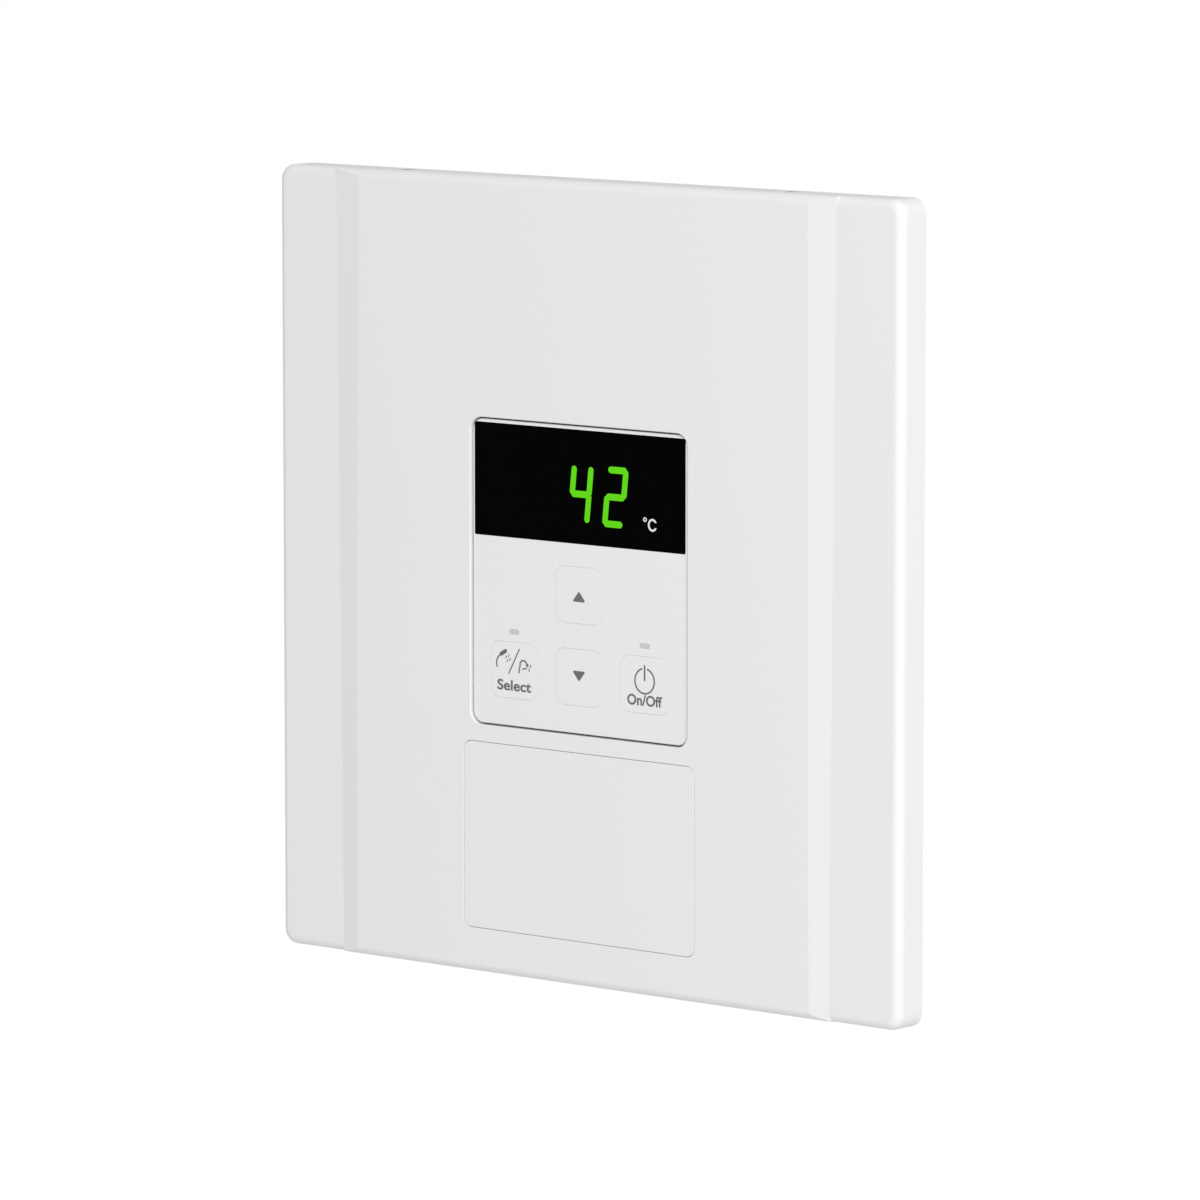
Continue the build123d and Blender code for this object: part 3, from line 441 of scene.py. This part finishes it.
# --- Ribbon harness --------------------------------------------------------------------------
# Eight PVC-covered cores side by side, clipped into a white nylon header on each board. The
# first core is printed red, and the ribbon bends through the slot in the controller case.
header_plastic = surface("moulded_white_nylon", "#E2E0D6", 0.45, vary=0.03, vary_mm=6.0,
                         bump_mm=0.5, bump_height=0.000008)
dress("harness_headers", header_plastic)
ribbon_low, ribbon_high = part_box("harness")
core_pitch, core_radius, bend_radius, cores = 0.001, 0.00045, 0.0007, 8
core_y_low = ribbon_high.y - core_radius
core_y_high = ribbon_low.y + core_radius
slot_y = -0.0125
fascia_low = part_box("fascia")[0].z
ribbon_points = ((0.0, core_y_high, ribbon_high.z), (0.0, core_y_high, ribbon_high.z - 0.0033),
                 (0.0, slot_y, fascia_low + 0.0029), (0.0, slot_y, ribbon_low.z + 0.0078),
                 (0.0, core_y_low, ribbon_low.z + 0.0048), (0.0, core_y_low, ribbon_low.z))
ribbon_mesh = bpy.data.meshes.new("ribbon_route")
ribbon_mesh.from_pydata(ribbon_points, [(i, i + 1) for i in range(len(ribbon_points) - 1)], [])
ribbon_tree = bpy.data.node_groups.new("ribbon_cores", "GeometryNodeTree")
ribbon_tree.interface.new_socket(name="Geometry", in_out="INPUT", socket_type="NodeSocketGeometry")
ribbon_inputs = {}
for title, kind, start in (("Cores", "NodeSocketInt", 8), ("Pitch", "NodeSocketFloat", 0.001),
                           ("Core Radius", "NodeSocketFloat", 0.00045),
                           ("Bend Radius", "NodeSocketFloat", 0.0007),
                           ("Finish", "NodeSocketMaterial", None)):
    made = ribbon_tree.interface.new_socket(name=title, in_out="INPUT", socket_type=kind)
    if start is not None:
        made.default_value = start
    ribbon_inputs[title] = made.identifier
ribbon_tree.interface.new_socket(name="Geometry", in_out="OUTPUT", socket_type="NodeSocketGeometry")
route = add(ribbon_tree, "NodeGroupInput")
route_line = add(ribbon_tree, "GeometryNodeMeshToCurve", None, {"Mesh": (route, "Geometry")})
bends = add(ribbon_tree, "GeometryNodeFilletCurve", {"mode": "POLY"}, {
    "Curve": (route_line, "Curve"), "Count": 6, "Radius": (route, "Bend Radius")})
core_gaps = add(ribbon_tree, "ShaderNodeMath", {"operation": "SUBTRACT"}, {0: (route, "Cores"), 1: 1.0})
ribbon_width = times(ribbon_tree, (core_gaps, "Value"), (route, "Pitch"))
first_core = add(ribbon_tree, "ShaderNodeCombineXYZ", None,
                 {"X": (times(ribbon_tree, (ribbon_width, "Value"), -0.5), "Value")})
core_step = add(ribbon_tree, "ShaderNodeCombineXYZ", None, {"X": (route, "Pitch")})
core_line = add(ribbon_tree, "GeometryNodeMeshLine", None, {
    "Count": (route, "Cores"), "Start Location": (first_core, "Vector"), "Offset": (core_step, "Vector")})
core_copies = add(ribbon_tree, "GeometryNodeInstanceOnPoints", None, {
    "Points": (core_line, "Mesh"), "Instance": (bends, "Curve")})
core_routes = add(ribbon_tree, "GeometryNodeRealizeInstances", None,
                  {"Geometry": (core_copies, "Instances")})
core_round = add(ribbon_tree, "GeometryNodeCurvePrimitiveCircle", None,
                 {"Resolution": 12, "Radius": (route, "Core Radius")})
core_skin = add(ribbon_tree, "GeometryNodeCurveToMesh", None, {
    "Curve": (core_routes, "Geometry"), "Profile Curve": (core_round, "Curve"), "Fill Caps": True})
core_solid = add(ribbon_tree, "GeometryNodeRealizeInstances", None, {"Geometry": (core_skin, "Mesh")})
core_finish = add(ribbon_tree, "GeometryNodeSetMaterial", None, {
    "Geometry": (core_solid, "Geometry"), "Material": (route, "Finish")})
add(ribbon_tree, "NodeGroupOutput", None, {"Geometry": (core_finish, "Geometry")})
ribbon_pvc = surface("grey_pvc_ribbon", "#9A9CA0", 0.42, vary=0.02, vary_mm=8.0, bump_mm=0.8,
                     bump_height=0.000005)
pvc_tree = ribbon_pvc.node_tree
pvc_place = add(pvc_tree, "ShaderNodeTexCoord")
pvc_split = add(pvc_tree, "ShaderNodeSeparateXYZ", None, {"Vector": (pvc_place, "Object")})
first_edge = -core_pitch * (cores / 2 - 1)
is_first = add(pvc_tree, "ShaderNodeMath", {"operation": "LESS_THAN"}, {0: (pvc_split, "X"), 1: first_edge})
pvc_shader = pvc_tree.nodes["Principled BSDF"]
pvc_base = pvc_shader.inputs["Base Color"].links[0].from_node
stripe = add(pvc_tree, "ShaderNodeMixRGB", None, {
    "Fac": (is_first, "Value"), "Color1": (pvc_base, "Color"), "Color2": linear("#A83028")})
pvc_tree.links.new(stripe.outputs[0], pvc_shader.inputs["Base Color"])
ribbon = grown("ribbon_cores", ribbon_tree, {
    ribbon_inputs["Cores"]: cores, ribbon_inputs["Pitch"]: core_pitch,
    ribbon_inputs["Core Radius"]: core_radius, ribbon_inputs["Bend Radius"]: bend_radius,
    ribbon_inputs["Finish"]: ribbon_pvc}, ribbon_mesh)
for face in ribbon.data.polygons:
    face.use_smooth = len(face.vertices) == 4
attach(ribbon, "housing")
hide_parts("harness")

# --- Controller case and board ---------------------------------------------------------------
# A dark ABS box with a flange, held to four welded studs by nuts. Its board carries the display
# module, the key switches, the lights, two chips, a buzzer and capacitors.
dark_plastic = surface("moulded_charcoal_abs", "#2C2D2F", 0.6, vary=0.04, bump_mm=0.6,
                       bump_height=0.00003)
dress("controller_case", dark_plastic)
dress("controller_board", solder_mask)
module_plastic = surface("grey_polycarbonate_housing", "#5A5D60", 0.5, vary=0.03, vary_mm=10.0,
                         bump_mm=0.4, bump_height=0.000008)
milky = surface("milky_epoxy_fill", "#C8CCC6", 0.4, vary=0.02, vary_mm=4.0, bump_mm=0.8,
                bump_height=0.000004)
module_front, fill_front, fill_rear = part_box("digit_module")[0].y * 1000, 1.4, 2.3
dress("digit_module", module_plastic, milky, lambda c: fill_front < c.y - module_front < fill_rear)
switch_cover = surface("stamped_tinned_steel", "#B4B6B8", 0.35, vary=0.03, vary_mm=3.0, bump_mm=0.4,
                       bump_height=0.000004, Metallic=1.0)
tact_front, plunger_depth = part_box("tact_switches")[0].y * 1000, 0.85
dress("tact_switches", switch_cover, switch_plastic, lambda c: c.y < tact_front + plunger_depth)
led_package = surface("white_ppa_led_package", "#E6E4DA", 0.45, vary=0.02, vary_mm=2.0, bump_mm=0.3,
                      bump_height=0.000004)
dress("status_leds", led_package)
chip_epoxy = surface("moulded_black_epoxy", "#1A1B1C", 0.5, vary=0.06, vary_mm=3.0, bump_mm=0.2,
                     bump_height=0.000008)
body_slack = 0.02
for name, body_x, body_z in (("microcontroller", 5.0, 5.0), ("driver_chip", 5.0, 2.0)):
    low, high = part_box(name)
    mid = (low + high) * 500
    dress(name, chip_epoxy, tin, lambda c, m=mid, a=body_x + body_slack, b=body_z + body_slack:
          abs(c.x - m.x) > a or abs(c.z - m.z) > b)
buzzer_plastic = surface("glass_filled_black_pbt", "#1D1E20", 0.4, vary=0.08, vary_mm=6.0,
                         bump_mm=0.5, bump_height=0.00001)
dress("buzzer", buzzer_plastic)

# --- Front cover -----------------------------------------------------------------------------
# One pressing in 1.2 mm steel: a raised centre panel, turned-in sides and two flanged openings,
# powder coated white. The coat gives an even satin face with a very slight orange peel.
enamel = surface("powder_coated_steel", "#E4E4E4", 0.42, vary=0.004, vary_mm=140.0,
                 rough_vary=0.03, rough_mm=20.0, bump_mm=2.2, bump_height=0.000008)
dress("front_cover", enamel)
dress("weld_studs", zinc)
dress("stud_nuts", zinc)
dress("cover_screws", zinc)

# --- Fascia and keys -------------------------------------------------------------------------
# Injection-moulded white ABS with a fine satin texture. The keys are separate caps that show
# only a hairline round each one, with white silicone behind it.
fascia_plastic = surface("satin_white_abs", "#E5E5E5", 0.45, vary=0.004, vary_mm=60.0,
                         rough_mm=8.0, bump_mm=0.5, bump_height=0.000004)
dress("fascia", fascia_plastic)
for name in ("up_key", "down_key", "select_key", "power_key"):
    dress(name, fascia_plastic)
silicone = surface("white_silicone", "#DCDCDA", 0.65, vary=0.01, bump_mm=0.8, bump_height=0.00001)
dress("key_mat", silicone)
pipe_plastic = surface("frosted_acrylic", "#C6C6C8", 0.30, vary=0.02, vary_mm=4.0, bump_mm=0.6,
                       bump_height=0.000004)
dress("status_light_pipes", pipe_plastic)

# --- Key legends -----------------------------------------------------------------------------
# Thin grey screen ink on the caps: two arrows, a standby symbol with a word, and a picture of a
# shower and a tap with a word. The strokes of the picture are round-ended lines.
grey_ink = surface("grey_screen_ink", "#66666A", 0.55, vary=0.03, vary_mm=3.0, bump_mm=0.25,
                   bump_height=0.000003)
for name in ("up_key_print", "down_key_print", "power_key_print"):
    dress(name, grey_ink)


def ink_stroke(shape, points, thickness, y_front, y_rear):
    """Adds one round-ended line through points (x, z) in metres, as a flat closed solid, to shape."""
    last = len(points) - 1
    turns = []
    for i in range(last + 1):
        (x0, z0), (x1, z1) = points[max(i - 1, 0)], points[min(i + 1, last)]
        turns.append(math.atan2(z1 - z0, x1 - x0))
    half = thickness / 2

    def around(i, angle):
        return points[i][0] + half * math.cos(angle), points[i][1] + half * math.sin(angle)

    outline = [around(i, turns[i] - math.pi / 2) for i in range(last + 1)]
    outline += [around(last, turns[last] - math.pi / 2 + math.pi * k / 8) for k in range(1, 8)]
    outline += [around(i, turns[i] + math.pi / 2) for i in range(last, -1, -1)]
    outline += [around(0, turns[0] + math.pi / 2 + math.pi * k / 8) for k in range(1, 8)]
    near = [shape.verts.new((px, y_front, pz)) for px, pz in outline]
    far = [shape.verts.new((px, y_rear, pz)) for px, pz in outline]
    shape.faces.new(near)
    shape.faces.new(list(reversed(far)))
    for i in range(len(outline)):
        j = (i + 1) % len(outline)
        shape.faces.new((near[j], near[i], far[i], far[j]))


def arc(cx, cz, radius, start, end, steps=8):
    """Points of an arc in degrees."""
    return [(cx + radius * math.cos(math.radians(start + (end - start) * i / steps)),
             cz + radius * math.sin(math.radians(start + (end - start) * i / steps)))
            for i in range(steps + 1)]


def flat_piece(name, shape, material, body):
    """Makes a finished piece of a flat shape."""
    bmesh.ops.recalc_face_normals(shape, faces=shape.faces)
    mesh = bpy.data.meshes.new(name)
    shape.to_mesh(mesh)
    shape.free()
    mesh.materials.append(material)
    piece = bpy.data.objects.new(name, mesh)
    bpy.context.scene.collection.objects.link(piece)
    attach(piece, body)
    return piece


mm = 0.001
cap_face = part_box("fascia")[0].y
ink_front, ink_rear = cap_face - 0.05 * mm, cap_face + 0.02 * mm
select_low, select_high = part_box("select_key")
select_x = (select_low.x + select_high.x) / 2
select_z = (select_low.z + select_high.z) / 2
picture_rise, word_drop = 2.9 * mm, 4.95 * mm
word_height, word_width = 3.5 * mm, 14.4 * mm
word_weight = 0.00022
head, pipe, slash, drop = 1.3, 0.5, 0.42, 0.32
strokes = (
    (arc(-4.6, -0.9, 2.9, 205, 110), pipe),
    (((-5.6, 2.0), (-3.7, 3.1)), head),
    (((-3.3, 1.5), (-3.6, 0.8)), drop), (((-2.2, 2.0), (-2.5, 1.3)), drop),
    (((-2.7, 0.4), (-3.0, -0.3)), drop), (((-1.6, 0.9), (-1.9, 0.2)), drop),
    (((-2.3, -4.0), (2.2, 4.1)), slash),
    (((2.0, -3.4), (2.6, -0.6)), pipe), (arc(3.9, -0.9, 1.5, 165, -10), pipe),
    (((3.6, -2.1), (5.2, -1.9)), slash),
    (((5.8, -0.4), (5.9, -1.2)), drop), (((6.9, -0.6), (7.0, -1.4)), drop),
    (((6.3, -1.9), (6.4, -2.7)), drop),
)
ink_step = 0.0015 * mm
picture_shape = bmesh.new()
for step, (points, thickness) in enumerate(strokes):
    placed_points = [(select_x + px * mm, select_z + picture_rise + pz * mm) for px, pz in points]
    ink_stroke(picture_shape, placed_points, thickness * mm, ink_front - ink_step * step, ink_rear)
picture = flat_piece("select_picture", picture_shape, grey_ink, "select_button")
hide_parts("select_key_print")
power_low, power_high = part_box("power_key")
for name, words, x, body in (("select_word", "Select", select_x, "select_button"),
                             ("power_word", "On/Off", (power_low.x + power_high.x) / 2, "power_button")):
    word = lettering(name, words, x, ink_front, select_z - word_drop, word_height, word_width, word_weight)
    word.data.materials.append(grey_ink)
    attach(word, body)

# --- Display ---------------------------------------------------------------------------------
# The window is clear acrylic printed black from behind, so it is deep black and glossy. The
# lit bars are round-ended diffusers over an LED module; the unlit ones stay all but invisible.
window_black = surface("back_printed_black_acrylic", "#010101", 0.14, vary=0.3, vary_mm=40.0,
                       rough_vary=0.02, rough_mm=18.0, bump_mm=8.0, bump_height=0.000001,
                       Specular_IOR_Level=0.02)
dress("display_window", window_black)
dress("unlit_segments", window_black)
dress("unit_mark", white_ink)
lit = bpy.data.materials.new("lit_green_diffuser")
lit.use_nodes = True
lit_shader = lit.node_tree.nodes["Principled BSDF"]
lit_shader.inputs["Base Color"].default_value = linear("#040A02")
lit_shader.inputs["Specular IOR Level"].default_value = 0.1
lit_shader.inputs["Roughness"].default_value = 0.5
lit_shader.inputs["Emission Color"].default_value = linear("#5ED60E")
lit_shader.inputs["Emission Strength"].default_value = 1.0
bar_width, bar_high, stroke, pull = 7.0, 17.3, 2.16, 0.75
first_x, digit_step, lean = 0.7, 14.5, math.tan(math.radians(6.0))
bar_front, bar_rear = cap_face - 0.03 * mm, cap_face + 0.4 * mm
bars_low, bars_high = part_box("lit_segments")
digit_z = (bars_low.z + bars_high.z) / 2 / mm
half_x, half_z = bar_width / 2, bar_high / 2
bars = {"a": ((-half_x + pull, half_z), (half_x - pull, half_z)),
        "b": ((half_x, half_z - pull), (half_x, pull)),
        "c": ((half_x, -pull), (half_x, -half_z + pull)),
        "d": ((-half_x + pull, -half_z), (half_x - pull, -half_z)),
        "e": ((-half_x, -pull), (-half_x, -half_z + pull)),
        "f": ((-half_x, half_z - pull), (-half_x, pull)),
        "g": ((-half_x + pull, 0.0), (half_x - pull, 0.0))}
digit_shape = bmesh.new()
step = 0
for place, shown in enumerate(("bcfg", "abged")):
    for letter in shown:
        points = [((first_x + digit_step * place + px + pz * lean) * mm, (digit_z + pz) * mm)
                  for px, pz in bars[letter]]
        ink_stroke(digit_shape, points, stroke * mm, bar_front - ink_step * step, bar_rear)
        step += 1
digits = flat_piece("lit_bars", digit_shape, lit, "housing")
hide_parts("lit_segments")

# --- Service door ----------------------------------------------------------------------------
# Moulded in ABS and painted to match the cover; it turns on two short pins near its lower edge
# and is held shut by two small magnets.
door_paint = surface("painted_abs_door", "#E4E4E4", 0.42, vary=0.004, vary_mm=120.0,
                     rough_vary=0.03, rough_mm=20.0, bump_mm=2.0, bump_height=0.000006)
dress("service_door", door_paint)
magnet = surface("nickel_plated_magnet", "#C8C4BA", 0.22, bump_mm=1.0, bump_height=0.000004,
                 Metallic=1.0)
dress("door_magnets", magnet)
